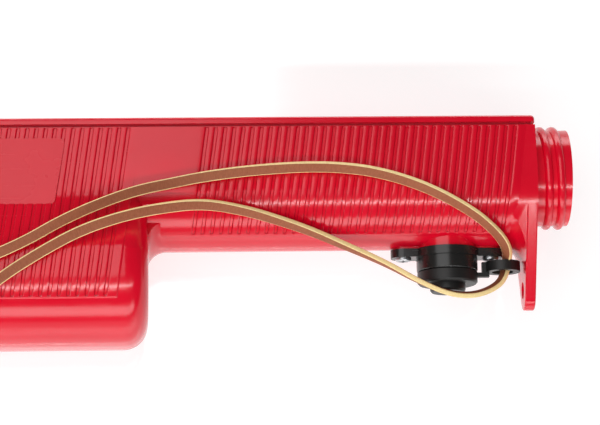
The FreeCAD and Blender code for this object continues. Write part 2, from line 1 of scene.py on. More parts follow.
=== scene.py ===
# %% [markdown]
# # A chalk line reel, lying on its side
# A chalk line reel is a long hollow handle full of coloured chalk powder. A string lies wound on a spool in
# the deep chamber at one end, runs through the chalk and comes out under the handle, ready to be snapped on
# a roof. The engineering model gives every part its place. This lesson loads it and leaves each part where
# it is, then adds what an engineering model leaves out: moulded grip ribs, a flat leather strap, and real
# finishes.

# %% Load the frame
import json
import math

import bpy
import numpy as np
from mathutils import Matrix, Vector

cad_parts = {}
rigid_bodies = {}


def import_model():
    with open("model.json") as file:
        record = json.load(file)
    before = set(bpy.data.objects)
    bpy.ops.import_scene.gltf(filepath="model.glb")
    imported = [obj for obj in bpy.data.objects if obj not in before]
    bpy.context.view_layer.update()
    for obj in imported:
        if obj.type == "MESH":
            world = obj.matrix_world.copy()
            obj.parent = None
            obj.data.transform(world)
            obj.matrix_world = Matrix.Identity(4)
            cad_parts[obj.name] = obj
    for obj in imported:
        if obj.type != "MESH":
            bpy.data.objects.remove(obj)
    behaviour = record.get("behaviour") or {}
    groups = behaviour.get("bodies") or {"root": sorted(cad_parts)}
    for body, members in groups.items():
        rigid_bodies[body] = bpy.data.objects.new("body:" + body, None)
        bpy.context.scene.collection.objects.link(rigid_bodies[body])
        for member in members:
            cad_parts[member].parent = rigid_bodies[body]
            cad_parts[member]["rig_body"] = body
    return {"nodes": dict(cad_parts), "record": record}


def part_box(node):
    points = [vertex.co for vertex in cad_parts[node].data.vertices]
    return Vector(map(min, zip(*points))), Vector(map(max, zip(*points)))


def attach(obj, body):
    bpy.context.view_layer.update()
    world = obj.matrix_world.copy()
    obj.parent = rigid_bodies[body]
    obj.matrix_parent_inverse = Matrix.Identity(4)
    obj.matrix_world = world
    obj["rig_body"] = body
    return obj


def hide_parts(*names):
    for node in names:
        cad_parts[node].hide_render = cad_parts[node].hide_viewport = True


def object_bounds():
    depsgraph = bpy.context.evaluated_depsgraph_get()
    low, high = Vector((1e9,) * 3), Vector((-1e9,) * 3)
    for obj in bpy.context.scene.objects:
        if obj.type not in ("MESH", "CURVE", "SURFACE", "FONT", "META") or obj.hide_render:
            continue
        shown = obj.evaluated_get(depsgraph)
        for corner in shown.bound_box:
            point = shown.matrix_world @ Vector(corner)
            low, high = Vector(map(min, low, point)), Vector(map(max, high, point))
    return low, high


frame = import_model()
cad_low, cad_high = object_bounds()

# %% [markdown]
# ## Where things are
# The frame says where the handle ends and where its axis runs, so nothing is placed by eye. On the handle
# it is easier to think in three distances: along from its end wall, up towards the flat cover, and out from
# the plane that halves the handle. `at` turns those three into a point of the frame, for one point or for
# whole arrays.

MM = 0.001
COVER_UP = 21.1 * MM          # underside of the flat cover over the handle's axis
cover_low, cover_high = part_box("top_cover")
END_X = cover_high.x
AXIS_Y = cover_low.y - COVER_UP
AXIS_Z = (cover_low.z + cover_high.z) / 2


def at(along, up, out):
    """Points from millimetres along from the end wall, up from the axis and out from the middle plane."""
    parts = np.broadcast_arrays(along, up, out)
    return np.stack(parts, axis=-1) * MM + np.array([END_X, AXIS_Y, AXIS_Z])


print("end wall at", round(END_X, 4), "axis at", round(AXIS_Y, 4), round(AXIS_Z, 4))

# %% [markdown]
# ## The camera
# The reel is seen from almost straight above, through a long lens, so that its sides hardly converge. Such
# a camera could be aimed with a constraint, but a roll would be left to chance. Three directions at right
# angles settle it instead: the line of sight, and a direction that lies level across the frame. The reel
# isn't quite square to the camera, so that direction leans half a degree from the handle's.

# %% Camera
AIM = at(-83.6, -7.6, 0)
STAND_OFF = np.array([-77.0, -217.0, 1055.0]) * MM
LEVEL = np.array([1.0, -math.sin(math.radians(0.5)), 0.0])
FOCAL_LENGTH, SENSOR = 180, 36


def camera_turn(stand_off):
    """Rotation whose columns are the view's right, up and backward directions."""
    back = stand_off / np.linalg.norm(stand_off)
    up = np.cross(back, LEVEL)
    up /= np.linalg.norm(up)
    return np.column_stack([np.cross(up, back), up, back])


def make_camera():
    camera = bpy.data.objects.new("camera", bpy.data.cameras.new("camera"))
    camera.data.lens = FOCAL_LENGTH
    camera.data.sensor_width = SENSOR
    camera.matrix_world = Matrix.Translation(AIM + STAND_OFF) @ Matrix(camera_turn(STAND_OFF)).to_4x4()
    bpy.context.scene.collection.objects.link(camera)
    bpy.context.scene.camera = camera


make_camera()
print("camera", round(float(np.linalg.norm(STAND_OFF)), 3), "m away, lens", FOCAL_LENGTH, "mm")

# %% [markdown]
# ## Light
# Glossy plastic is seen by what it mirrors, so the lamps are soft boxes whose place decides where each
# highlight lies. A wide one hangs overhead on the cover's side and lays a pale veil on the flat walls. A
# narrow strip makes the bright line along the handle, and a low wide one makes the broad soft band below
# it. What they light is dim otherwise, because a bright room would wash the red out.

# %% Soft boxes
LAMP_DISTANCE = 1.5


def soft_box(name, tilt, turn, size, radiance):
    """Lamp tilted from overhead towards the cover (+) or away (-), turned along the handle, both in
    degrees."""
    lean, swing = math.radians(tilt), math.radians(turn)
    toward = Vector((math.sin(swing), math.sin(lean) * math.cos(swing), math.cos(lean) * math.cos(swing)))
    lamp = bpy.data.objects.new(name, bpy.data.lights.new(name, "AREA"))
    lamp.data.shape = "RECTANGLE"
    lamp.data.size, lamp.data.size_y = size
    lamp.data.energy = radiance * math.pi * size[0] * size[1]
    lamp.location = Vector(AIM) + toward * LAMP_DISTANCE
    side = Vector((1, 0, 0)) - toward * toward.x
    side.normalize()
    lamp.rotation_euler = Matrix((side, toward.cross(side), toward)).transposed().to_euler()
    bpy.context.scene.collection.objects.link(lamp)
    return lamp


lamps = [
    soft_box("overhead", 9, -20, (1.3, 1.55), 1.9),
    soft_box("strip", -32, 0, (2.2, 0.06), 24.0),
    soft_box("low_front", -71, 0, (2.4, 0.42), 3.6),
    soft_box("low_back", 84, 0, (2.4, 0.4), 4.0),
    soft_box("left_end", 10, -84, (0.4, 1.6), 4.0),
]
print(len(lamps), "soft boxes")

# %% [markdown]
# ## The room
# The soft boxes are only lamps, so glossy plastic would mirror black between them. A dim white room fills
# that in. The view can also run past the table's edge, where the camera alone sees a pale backdrop. One
# world can do both, because a shader may ask whether a ray comes from the camera. The colours are shown as
# they are, without the film-like curve that would grey the red.

# %% World and colour handling
ROOM_LIGHT, BACKDROP_LIGHT = 0.06, 0.95


def make_world():
    """A dim room for the reflections, and a pale backdrop where the view runs past the floor."""
    world = bpy.data.worlds.new("studio")
    world.use_nodes = True
    nodes, links = world.node_tree.nodes, world.node_tree.links
    room = nodes["Background"]
    room.inputs["Color"].default_value = (1, 1, 1, 1)
    room.inputs["Strength"].default_value = ROOM_LIGHT
    backdrop = nodes.new("ShaderNodeBackground")
    backdrop.inputs["Strength"].default_value = BACKDROP_LIGHT
    which = nodes.new("ShaderNodeMixShader")
    links.new(nodes.new("ShaderNodeLightPath").outputs["Is Camera Ray"], which.inputs[0])
    links.new(room.outputs[0], which.inputs[1])
    links.new(backdrop.outputs[0], which.inputs[2])
    links.new(which.outputs[0], nodes["World Output"].inputs["Surface"])
    return world


bpy.context.scene.world = make_world()
bpy.context.scene.view_settings.view_transform = "Standard"
print("room light", ROOM_LIGHT, "backdrop", BACKDROP_LIGHT)

# %% [markdown]
# ## Surfaces from arrays
# Each new piece is a surface on a grid: one array of points, rows by columns. The faces of a grid follow
# from counting, so they are worked out once, here. A grid may close on itself along its columns, as a tube
# does, and one many-sided face then closes each end. A sheet with a thickness is two grids and the strip
# that joins their rims. Shading runs smooth over each piece and breaks only where two faces meet at a real
# edge.


# %% Mesh helpers
def grid_faces(rows, columns, closed):
    """Quads between neighbouring rows and columns; the last column meets the first one if it is closed."""
    index = np.arange(rows * columns).reshape(rows, columns)
    after = np.roll(index, -1, axis=1) if closed else index[:, 1:]
    here = index if closed else index[:, :-1]
    return np.stack([here[:-1], after[:-1], after[1:], here[1:]], axis=-1).reshape(-1, 4)


def new_piece(name, points, faces, body, material, edge_angle=50):
    """An object at the origin from points and lists of faces, riding on a body. Edges that turn by more
    than the angle, in degrees, are shaded sharp."""
    mesh = bpy.data.meshes.new(name)
    mesh.from_pydata(np.asarray(points).reshape(-1, 3).tolist(), [], [f.tolist() for f in faces])
    mesh.polygons.foreach_set("use_smooth", np.ones(len(mesh.polygons), dtype=bool))
    mesh.set_sharp_from_angle(angle=math.radians(edge_angle))
    mesh.materials.append(material)
    piece = bpy.data.objects.new(name, mesh)
    bpy.context.scene.collection.objects.link(piece)
    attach(piece, body)
    print(name, len(mesh.vertices), "points", len(mesh.polygons), "faces")
    return piece


def tube(points):
    """Faces of a closed tube given as rings of points, with one many-sided face on each end."""
    rows, columns = points.shape[:2]
    index = np.arange(rows * columns).reshape(rows, columns)
    return [*grid_faces(rows, columns, True), index[0][::-1], index[-1]]


def plate(top, under):
    """Points and faces of a solid between two grids of one size, joined along their rims."""
    rows, columns = top.shape[:2]
    index = np.arange(rows * columns).reshape(rows, columns)
    rim = np.concatenate([index[0, :-1], index[:-1, -1], index[-1, :0:-1], index[:0:-1, 0]])
    ahead = np.roll(rim, -1)
    below = rows * columns
    skin = grid_faces(rows, columns, False)
    strip = np.stack([rim, rim + below, ahead + below, ahead], axis=-1)
    points = np.concatenate([top.reshape(-1, 3), under.reshape(-1, 3)])
    return points, [*skin, *(skin[:, ::-1] + below), *strip]


# %% [markdown]
# ## Finishes
# A material is a graph of nodes, and sums drawn as nodes soon become unreadable. The class below holds a
# number on its way through the graph, so that `1 - wear * 0.5` adds its own Math nodes. Everything else
# comes from one method that sets a node up and feeds its sockets. All patterns are in metres on the object,
# so a grain of half a millimetre is half a millimetre on every piece.


# %% Shader helpers
class Flow:
    """A number on its way through a material. Sums with it add the Math nodes that work them out."""

    def __init__(self, recipe, socket):
        self.recipe, self.socket = recipe, socket

    def sum_of(self, operation, first, second):
        return self.recipe.node("ShaderNodeMath", {"operation": operation}, {0: first, 1: second})

    def __add__(self, other):
        return self.sum_of("ADD", self, other)

    def __sub__(self, other):
        return self.sum_of("SUBTRACT", self, other)

    def __rsub__(self, other):
        return self.sum_of("SUBTRACT", other, self)

    def __mul__(self, other):
        return self.sum_of("MULTIPLY", self, other)

    __radd__, __rmul__ = __add__, __mul__


class Recipe:
    """A finish under construction: a material, its shader, and the one way to add nodes to it."""

    def __init__(self, name, **constants):
        self.material = bpy.data.materials.new(name)
        self.material.use_nodes = True
        self.tree = self.material.node_tree
        self.shader = self.tree.nodes["Principled BSDF"]
        for socket, value in constants.items():
            self.shader.inputs[socket.replace("_", " ")].default_value = value

    def feed(self, socket, value):
        if isinstance(value, Flow):
            self.tree.links.new(value.socket, socket)
        elif isinstance(value, tuple) and socket.type == "RGBA":
            socket.default_value = (*value, 1.0)
        else:
            socket.default_value = value

    def node(self, kind, settings=None, inputs=None, output=0):
        """Adds a node: its type, its settings, the values or links of its sockets, and the output
        wanted."""
        made = self.tree.nodes.new(kind)
        for name, value in (settings or {}).items():
            if name == "stops":
                self.set_stops(made.color_ramp.elements, value)
            else:
                setattr(made, name, value)
        for name, value in (inputs or {}).items():
            self.feed(made.inputs[name], value)
        return Flow(self, made.outputs[output])

    def set_stops(self, stops, values):
        """Replaces a ramp's two first stops, of which one has to stay until there are others."""
        stops.remove(stops[1])
        for place, shade in values:
            stops.new(place).color = (shade, shade, shade, 1.0)
        stops.remove(stops[0])

    def place(self, stretch):
        """Object coordinates in metres, stretched along the axes."""
        here = self.node("ShaderNodeTexCoord", output="Object")
        return self.node("ShaderNodeVectorMath", {"operation": "MULTIPLY"}, {0: here, 1: stretch})

    def noise(self, size, detail=3.0, stretch=(1.0, 1.0, 1.0)):
        """Cloudy pattern from 0 to 1 whose patches are about size metres."""
        where = self.place(stretch)
        return self.node("ShaderNodeTexNoise", None, {"Vector": where, "Scale": 1 / size, "Detail": detail})

    def ramp(self, value, stops):
        return self.node("ShaderNodeValToRGB", {"stops": stops}, {0: value})

    def mix(self, share, first, second):
        """Colour that goes from the first to the second as share goes from 0 to 1."""
        return self.node("ShaderNodeMix", {"data_type": "RGBA"}, {0: share, 6: first, 7: second}, output=2)

    def surface(self, **flows):
        """Feeds the shader's own sockets."""
        for name, value in flows.items():
            self.feed(self.shader.inputs[name.replace("_", " ")], value)
        return self

    def bump(self, height, depth, strength=1.0):
        """Relief: a height from 0 to 1 stands for 0 to depth metres."""
        sockets = {"Height": height, "Distance": depth, "Strength": strength}
        return self.surface(Normal=self.node("ShaderNodeBump", None, sockets))


# %% [markdown]
# ### Moulded plastic
# The handle is one glossy red shell from a polished mould. Even a polished moulding isn't flat: it ripples
# a little where the thick ribs cooled last, and its gloss changes in faint clouds. Fine hairline scratches
# from handling roughen it. A single noise would look like dirt, so four scales share the work: ripple and a
# fine grain in the bump, clouds in the colour and the gloss, hairlines in the gloss and the bump. Light is
# lost between the walls of a groove, so painted shade darkens the colour there, by an attribute that the
# ribs bring along. The other mouldings, in black and in natural nylon, and the red seal are the same recipe
# in other colours.

# %% Moulded plastics
def moulded(name, deep, pale, gloss, ripple=0.000006, **constants):
    """Glossy moulded plastic: two close colours in clouds, a rippled surface and hairline scratches. The
    colour darkens as painted shade where the piece's own attribute says a point lies down in a groove."""
    finish = Recipe(name, **constants)
    clouds = finish.noise(0.022, 4.0)
    hair = finish.ramp(finish.noise(0.0011, 6.0, (0.06, 1.0, 0.5)), [(0.62, 0.0), (0.70, 1.0)])
    grain = finish.noise(0.0007, 2.0)
    groove = finish.node("ShaderNodeAttribute", {"attribute_name": "groove"}, output="Fac")
    colour = finish.mix(clouds, deep, pale)
    # Painted shade: down in a groove the colour is darkened towards a third of the deep colour.
    colour = finish.mix(groove * 0.6, colour, tuple(part * 0.3 for part in deep))
    finish.surface(Base_Color=colour, Roughness=gloss + clouds * 0.06 + hair * 0.08 + groove * 0.12)
    return finish.bump(finish.noise(0.012, 1.0) + grain * 0.05 - hair * 0.04, ripple).material


RED = moulded("red_moulded_plastic", (0.66, 0.0012, 0.016), (0.76, 0.003, 0.024), 0.14, IOR=1.52)
LABEL = moulded("label_plate_red", (0.66, 0.012, 0.026), (0.78, 0.022, 0.042), 0.24, IOR=1.48)
SEAL = moulded("red_seal_rubber", (0.46, 0.002, 0.016), (0.58, 0.004, 0.024), 0.50, IOR=1.45)
BLACK = moulded("black_moulded_plastic", (0.010, 0.010, 0.010), (0.017, 0.016, 0.015), 0.20, IOR=1.5)
NYLON = moulded("natural_nylon", (0.62, 0.58, 0.47), (0.72, 0.69, 0.58), 0.34, IOR=1.53)
print("moulded plastics ready")

# %% [markdown]
# ### Rubber
# The line's end is a black rubber moulding. It is duller than the plastic and finely pitted, because it
# takes the skin of a sandblasted mould, and a grey bloom makes its gloss uneven. A fine noise pits the
# bump, and a coarse one moves colour and roughness together.


# %% Rubber
def make_rubber():
    finish = Recipe("black_rubber", Specular_IOR_Level=0.35)
    pits = finish.noise(0.0005, 3.0)
    bloom = finish.noise(0.008, 3.0)
    finish.surface(Base_Color=finish.mix(bloom, (0.009, 0.009, 0.009), (0.020, 0.019, 0.018)),
                   Roughness=0.34 + bloom * 0.16)
    return finish.bump(pits, 0.00003).material


RUBBER = make_rubber()
print("rubber ready")

# %% [markdown]
# ### Leather
# The strap's broad faces are stained brown, with a fine grain that runs across it, while its cut edges stay
# pale, because the stain never reaches them. Two materials would part along a hard line. One material that
# reads how near a point is to a cut edge lets the grain fray that line. The grain follows the strap round
# every bend, because it is laid out along the strap, by an attribute, and not in space.


# %% Leather
def make_leather():
    finish = Recipe("strap_leather", Specular_IOR_Level=0.3)
    edge = finish.node("ShaderNodeAttribute", {"attribute_name": "cut_edge"}, output="Fac")
    along = finish.node("ShaderNodeAttribute", {"attribute_name": "strap_place"}, output="Vector")
    fibre = finish.node("ShaderNodeTexNoise", None, {"Vector": along, "Scale": 1.0, "Detail": 4.0})
    blotch = finish.noise(0.006, 3.0)
    brown = finish.mix(fibre, (0.190, 0.047, 0.020), (0.460, 0.150, 0.068))
    brown = finish.mix(blotch * 0.35, brown, (0.36, 0.105, 0.046))
    pale = finish.mix(fibre * 0.8 + blotch * 0.2, (0.88, 0.58, 0.22), (1.0, 0.86, 0.46))
    cut = finish.ramp(edge + fibre * 0.2 - 0.1, [(0.40, 0.0), (0.56, 1.0)])
    finish.surface(Base_Color=finish.mix(cut, brown, pale), Roughness=0.62 - cut * 0.14)
    return finish.bump(fibre, 0.00012, 0.7).material


LEATHER = make_leather()
print("leather ready")

# %% [markdown]
# ### Felt and string
# The felt that wipes the line and the wound line itself are both made of threads. At this size single
# threads don't show, so fine noise stands for them in colour and relief, and a coarser noise makes tufts.


# %% Felt and string
def make_fibres(name, deep, pale, size, depth):
    finish = Recipe(name, Specular_IOR_Level=0.15)
    strands = finish.noise(size, 4.0)
    tufts = finish.noise(size * 7, 2.0)
    finish.surface(Base_Color=finish.mix(strands * 0.7 + tufts * 0.3, deep, pale),
                   Roughness=0.85 + tufts * 0.1)
    return finish.bump(strands, depth).material


FELT = make_fibres("grey_felt", (0.10, 0.10, 0.11), (0.30, 0.30, 0.31), 0.0004, 0.0004)
STRING = make_fibres("chalk_string", (0.50, 0.47, 0.42), (0.80, 0.77, 0.70), 0.0003, 0.0002)
print("felt and string ready")

# %% [markdown]
# ### Metals
# Shafts, pins and screws are zinc-plated steel, and the bearings are brass. Machining leaves marks that run
# round or along a piece, so the noise behind the gloss is stretched, and a coarse noise dulls the metal in
# patches.


# %% Metals
def make_metal(name, deep, pale, gloss, stretch):
    finish = Recipe(name)
    marks = finish.noise(0.0006, 5.0, stretch)
    tarnish = finish.noise(0.006, 4.0)
    finish.surface(Base_Color=finish.mix(tarnish, deep, pale), Metallic=1.0,
                   Roughness=gloss + marks * 0.14 + tarnish * 0.08)
    return finish.bump(marks, 0.000012).material


STEEL = make_metal("zinc_steel", (0.42, 0.43, 0.45), (0.66, 0.67, 0.68), 0.20, (1.0, 1.0, 0.08))
BRASS = make_metal("brass", (0.58, 0.37, 0.13), (0.80, 0.56, 0.24), 0.18, (1.0, 0.08, 1.0))
print("metals ready")

# %% [markdown]
# ## The floor
# The reel lies on a white glossy table. A faint mirror image of the red plastic is what makes the table
# look glossy, so it is a smooth dielectric. More lamps would keep it white, but they would wash out the red
# as well. It gives a little light of its own instead.


# %% Floor
FLOOR_HALF, FLOOR_POINTS = 4.0, 9


def make_floor():
    finish = Recipe("white_table", Base_Color=(0.45, 0.45, 0.45, 1), IOR=1.9, Emission_Color=(1, 1, 1, 1),
                    Emission_Strength=0.70)
    finish.surface(Roughness=0.07 + finish.noise(0.3, 2.0) * 0.04)
    side = np.linspace(-FLOOR_HALF, FLOOR_HALF, FLOOR_POINTS)
    across, along = np.meshgrid(side, side)
    points = np.stack([across, along, np.full_like(across, cad_low.z)], axis=-1)
    mesh = bpy.data.meshes.new("floor")
    squares = grid_faces(FLOOR_POINTS, FLOOR_POINTS, False)
    mesh.from_pydata(points.reshape(-1, 3).tolist(), [], squares.tolist())
    mesh.materials.append(finish.material)
    floor = bpy.data.objects.new("floor", mesh)
    bpy.context.scene.collection.objects.link(floor)


make_floor()
print("floor", 2 * FLOOR_HALF, "m across")

# %% [markdown]
# ## The strap
# A narrow flat strap passes through the eye of the line's rubber end and lies along the handle, so that the
# line can be pulled or hooked on. A curve with a bevel, tilted at its control points, would give the shape.
# Here a flat section is carried along a spline in arrays instead: the roll can then be given by the
# distance along the strap, and each point can be told how near a cut edge it is. At each point the section
# stands square to the route and is rolled about it, by an angle that turns slowly along the strap.

# %% Strap route and roll
STRAP_ROUTE = [
    (-9.8, -28.3, 0.0), (-9.6, -25.7, 4.0), (-10.4, -23.2, 9.4), (-13.0, -20.4, 14.4), (-16.8, -17.4, 18.2),
    (-22.8, -13.1, 21.6), (-33.4, -7.3, 24.4), (-44.0, -2.6, 25.2), (-55.4, 1.0, 25.3), (-66.6, 3.1, 25.2),
    (-82.0, 3.9, 25.0), (-102.0, 2.7, 24.9), (-119.5, 0.4, 25.0), (-130.0, -1.9, 25.6), (-142.6, -4.8, 27.6),
    (-156.0, -10.1, 30.4), (-169.5, -16.6, 32.6), (-182.6, -24.4, 33.3), (-199.0, -31.2, 33.4),
    (-210.5, -33.9, 33.4), (-222.8, -36.9, 33.4), (-228.5, -47.0, 33.3), (-222.8, -56.5, 33.1),
    (-210.5, -53.5, 33.2), (-199.5, -44.2, 33.4), (-189.0, -35.6, 33.4), (-176.0, -27.4, 33.4),
    (-163.0, -20.3, 33.3), (-149.4, -15.5, 32.9), (-136.0, -11.9, 29.8), (-119.6, -9.1, 25.2),
    (-104.4, -11.3, 22.4), (-93.0, -14.3, 20.0), (-81.4, -17.7, 16.8), (-69.8, -21.9, 12.6),
    (-54.3, -28.3, 10.2), (-43.0, -34.6, 9.2), (-31.6, -39.2, 7.6), (-22.8, -39.6, 5.8), (-15.6, -37.0, 3.6),
    (-10.8, -32.9, 1.2), (-9.8, -28.5, 0.0)]
# How far along the strap, in millimetres, and how far its upper edge leans there, in degrees.
STRAP_ROLL = [(0, 30), (25, 36), (60, 46), (100, 58), (140, 78), (225, 80), (285, 101), (350, 107),
              (385, 130), (425, 158), (455, 180), (475, 202), (505, 212)]
STRAP_HALF_WIDTH, STRAP_HALF_THICK = 1.9, 0.95
STRAP_STEP = 0.8
ROLL_BLEND = 12               # steps on each side over which the roll is evened out
EDGE_SHARE = 0.86             # share of the half width beyond which the leather is cut
CORNER_POWER = 5              # of the section's superellipse: the higher, the squarer
GRAIN_PER_MM = 2.6, 0.9, 1.4  # along, across and through the strap


def spline_points(name, points):
    """Points in order along a smooth open spline whose control points are given."""
    curve = bpy.data.curves.new(name, "CURVE")
    curve.dimensions = "3D"
    spline = curve.splines.new("NURBS")
    spline.points.add(len(points) - 1)
    spline.points.foreach_set("co", np.column_stack([points, np.ones(len(points))]).ravel())
    spline.order_u = 3
    spline.use_endpoint_u = True
    spline.resolution_u = 12
    holder = bpy.data.objects.new(name, curve)
    bpy.context.scene.collection.objects.link(holder)
    line = bpy.data.meshes.new_from_object(holder)
    route = np.zeros(len(line.vertices) * 3)
    line.vertices.foreach_get("co", route)
    bpy.data.objects.remove(holder)
    return route.reshape(-1, 3)


def even_steps(route, step):
    """The same line with its points a step apart, and how far along it each one is."""
    run = np.concatenate([[0], np.cumsum(np.linalg.norm(np.diff(route, axis=0), axis=1))])
    run, keep = np.unique(run, return_index=True)
    place = np.linspace(0, run[-1], int(run[-1] / step) + 1)
    return np.column_stack([np.interp(place, run, route[keep, axis]) for axis in range(3)]), place


def smoothed(values, reach):
    """Running mean over reach values each side, with the ends held."""
    padded = np.pad(values, reach, mode="edge")
    return np.convolve(padded, np.ones(2 * reach + 1) / (2 * reach + 1), mode="valid")


def unit(vectors):
    """The same directions with a length of one."""
    return vectors / np.linalg.norm(vectors, axis=-1, keepdims=True)


def strap_section(count=40):
    """Superellipse: across over half the width and thick over half the thickness, each to the corner power,
    add up to 1 all round it."""
    turn = np.linspace(0, 2 * np.pi, count, endpoint=False)
    across = np.sign(np.cos(turn)) * np.abs(np.cos(turn)) ** (2 / CORNER_POWER) * STRAP_HALF_WIDTH * MM
    thick = np.sign(np.sin(turn)) * np.abs(np.sin(turn)) ** (2 / CORNER_POWER) * STRAP_HALF_THICK * MM
    return across, thick


def strap_roll(place):
    """The roll at distances along the strap, in radians, as one column."""
    marks, angles = np.array(STRAP_ROLL, float).T
    return np.radians(smoothed(np.interp(place / MM, marks, angles), ROLL_BLEND))[:, None]


def mark_leather(strap, place, across, thick):
    """Writes down for the leather what is a cut edge, and where on the strap each point lies."""
    is_cut = np.abs(across) > EDGE_SHARE * STRAP_HALF_WIDTH * MM
    cut_edge = strap.data.attributes.new("cut_edge", "FLOAT", "POINT")
    cut_edge.data.foreach_set("value", np.tile(is_cut.astype(float), len(place)))
    parts = [part / MM * size for part, size in zip((place[:, None], across, thick), GRAIN_PER_MM)]
    strap_place = strap.data.attributes.new("strap_place", "FLOAT_VECTOR", "POINT")
    strap_place.data.foreach_set("vector", np.stack(np.broadcast_arrays(*parts), axis=-1).ravel())


def make_strap():
    """Each ring is the section in the plane across the route: width along the rolled edge direction,
    thickness along the face direction. The edge direction is world up, made square to the route and turned
    by the roll."""
    route, place = even_steps(spline_points("strap_route", at(*np.array(STRAP_ROUTE).T)), STRAP_STEP * MM)
    ahead = unit(np.gradient(route, axis=0))
    upright = unit(np.array([0, 0, 1.0]) - ahead * ahead[:, 2:])
    level = np.cross(ahead, upright)
    roll = strap_roll(place)
    edge = np.cos(roll) * upright + np.sin(roll) * level
    face = np.cross(ahead, edge)
    across, thick = strap_section()
    rings = route[:, None] + edge[:, None] * across[None, :, None] + face[:, None] * thick[None, :, None]
    strap = new_piece("leather_strap", rings, tube(rings), "line_end", LEATHER)
    mark_leather(strap, place, across, thick)
    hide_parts("leather_loop")
    print("strap length", round(place[-1], 4), "m")


make_strap()

# %% [markdown]
# ## Grip ribs
# Slanted grooves are moulded into the handle's sides, so that it doesn't slip from a dusty hand. They could
# be cut from the shell with booleans, but that needs hundreds of cuts in a thin wall. A thin skin laid on
# the shell is lighter and cleaner. Its outline follows the shell's section, its columns lean with the ribs,
# and only its height changes: full on the bands, nothing in the grooves, which end round like the cut of a
# ball-nosed tool.

# %% Rib values
RIB_PITCH, RIB_HEIGHT, RIB_CROWN = 3.236, 0.45, 0.035
GROOVE_FLOOR, GROOVE_SHOULDER = 0.36, 0.74     # half widths of a groove at its floor and at its top
RIB_LEAN = math.tan(math.radians(8.3))
SKIN_DEEP = 0.6                                # how far the skin's underside lies inside the wall
SUNK = 0.04                                    # how far its top does, where it has no height
BARREL_R, SIDE_TAPER, RIM_UP = 21.5, math.radians(8.0), 20.0
TOUCH_UP, TOUCH_OUT = BARREL_R * math.sin(SIDE_TAPER), BARREL_R * math.cos(SIDE_TAPER)
OUTLINE_STEPS = 6000
GROOVE_STEPS = np.array([0, 0.24, 0.38, 0.50, 0.62, 0.76])   # columns beside a groove, from its middle
STEPS_PITCH = 3.2                              # the pitch that those steps are drawn for
FINE_REACH, FINE_ROWS, COARSE_ROWS = 1.2, 13, 40
WHOLE = 0.99                                   # share of its height from which a skin counts as not fading


def barrel_outline(place):
    """(up, out, normal up, normal out) of the handle's side at distances down from its rim: first a
    straight run that leans by the taper, then the round underside."""
    straight = (RIM_UP - TOUCH_UP) / math.cos(SIDE_TAPER)
    turn = SIDE_TAPER - np.maximum(place - straight, 0) / BARREL_R
    back = np.maximum(straight - place, 0)
    up = BARREL_R * np.sin(turn) + back * math.cos(SIDE_TAPER)
    out = BARREL_R * np.cos(turn) - back * math.sin(SIDE_TAPER)
    return up, out, np.sin(turn), np.cos(turn)


def along_outline(corners, radii, place):
    """The same for a section of straight runs whose corners are rounded by arcs of the radii. Its heading
    is constant along a run and turns evenly along an arc, and adding up fine steps in that heading gives
    the line."""
    corners = np.array(corners, float)
    legs = unit(np.diff(corners, axis=0))
    lengths = np.linalg.norm(np.diff(corners, axis=0), axis=1)
    turns = np.arctan2(legs[:-1, 0] * legs[1:, 1] - legs[:-1, 1] * legs[1:, 0], (legs[:-1] * legs[1:]).sum(1))
    cuts = np.concatenate([[0], np.array(radii) * np.tan(np.abs(turns) / 2), [0]])
    marks, angles = [0.0], [math.atan2(legs[0, 1], legs[0, 0])]
    for n, length in enumerate(lengths):
        marks.append(marks[-1] + length - cuts[n] - cuts[n + 1])
        angles.append(angles[-1])
        if n < len(turns):
            marks.append(marks[-1] + radii[n] * abs(turns[n]))
            angles.append(angles[-1] + turns[n])
    fine = np.linspace(0, marks[-1], OUTLINE_STEPS)
    angle = np.interp(fine, marks, angles)
    step = fine[1]
    up = corners[0, 0] + np.concatenate([[0], np.cumsum(np.cos(angle[:-1])) * step])
    out = corners[0, 1] + np.concatenate([[0], np.cumsum(np.sin(angle[:-1])) * step])
    here = np.interp(place, fine, angle)
    return np.interp(place, fine, up), np.interp(place, fine, out), np.sin(here), -np.cos(here)


# %% [markdown]
# A skin is a grid. Its rows run along the shell's outline, from the rim down, close together where the
# grooves begin and end and far apart between. Its columns stand at the same few places in every pitch. The
# height at a point depends on how far it is from the nearest groove's centre line, past that line's ends as
# well.

# %% Rib skins
def rib_columns(first, count):
    """Distances along the handle, from the left end of the skin, at the same places in each pitch."""
    marks = np.append(GROOVE_STEPS, [0.95, 1.28]) / STEPS_PITCH * RIB_PITCH
    inside = np.concatenate([marks, [RIB_PITCH / 2], RIB_PITCH - marks[:0:-1]])
    return first + (np.arange(count)[:, None] * RIB_PITCH + inside).ravel()


def rib_rows(start, stop, margin, top_margin):
    """Distances along the outline: fine where the grooves end, coarse between."""
    top = start - top_margin + np.linspace(0, top_margin + FINE_REACH, FINE_ROWS)
    middle = np.linspace(start + FINE_REACH, stop - FINE_REACH, COARSE_ROWS)[1:-1]
    bottom = stop - np.linspace(-margin, FINE_REACH, FINE_ROWS)[::-1]
    return np.concatenate([top, middle, bottom])


def between(values, limits):
    """Which of the values lie between the two limits."""
    return (values > limits[0]) & (values < limits[1])


def ease(value):
    """Smooth step from 0 to 1."""
    value = np.clip(value, 0, 1)
    return value * value * (3 - 2 * value)


def rib_height(from_groove, past_end):
    """Height over the shell: nothing within the groove's round-ended floor, full past its shoulder, and a
    low crown in the middle of each band."""
    away = np.hypot(from_groove, past_end)
    band = ease((away - GROOVE_FLOOR) / (GROOVE_SHOULDER - GROOVE_FLOOR))
    to_middle = np.maximum(RIB_PITCH / 2 - away, 0) / (RIB_PITCH / 2 - GROOVE_SHOULDER)
    crown = np.clip(1 - to_middle ** 2, 0, 1)
    return (RIB_HEIGHT - RIB_CROWN + RIB_CROWN * crown) * band


